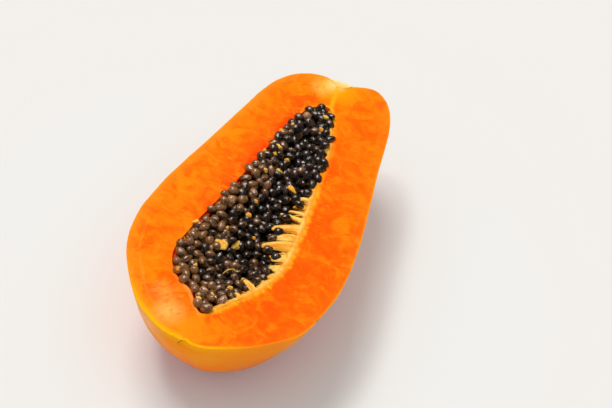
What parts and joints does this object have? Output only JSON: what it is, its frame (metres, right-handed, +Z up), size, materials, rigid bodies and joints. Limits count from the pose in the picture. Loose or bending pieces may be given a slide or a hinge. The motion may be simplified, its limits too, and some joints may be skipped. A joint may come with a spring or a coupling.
{
  "type": "papaya half",
  "caption": "Ripe papaya cut in half lengthwise, lying on its skin: orange flesh, pale cavity lining, dark seed heap and a trimmed stem base.",
  "frame": {"origin": "centre of the footprint, on the surface that the half lies on", "axes": "+Z up, square to the cut face; +Y from the blossom end to the stem end; +X to the right of the cut face seen from above"},
  "size_m": [0.1398, 0.2614, 0.0737],
  "materials": {
    "flesh": "moist cut flesh, with a thin satin yellow-orange skin on the outside",
    "lining": "pale yellow, fibrous and moist",
    "seeds": "wet, near-black to grey-brown",
    "stem": "dry, pale cream"
  },
  "bodies": {
    "root": {"flesh_half": "flesh", "cavity_lining": "lining", "seed_mass": "seeds", "stem_base": "stem"}
  },
  "joints": []
}
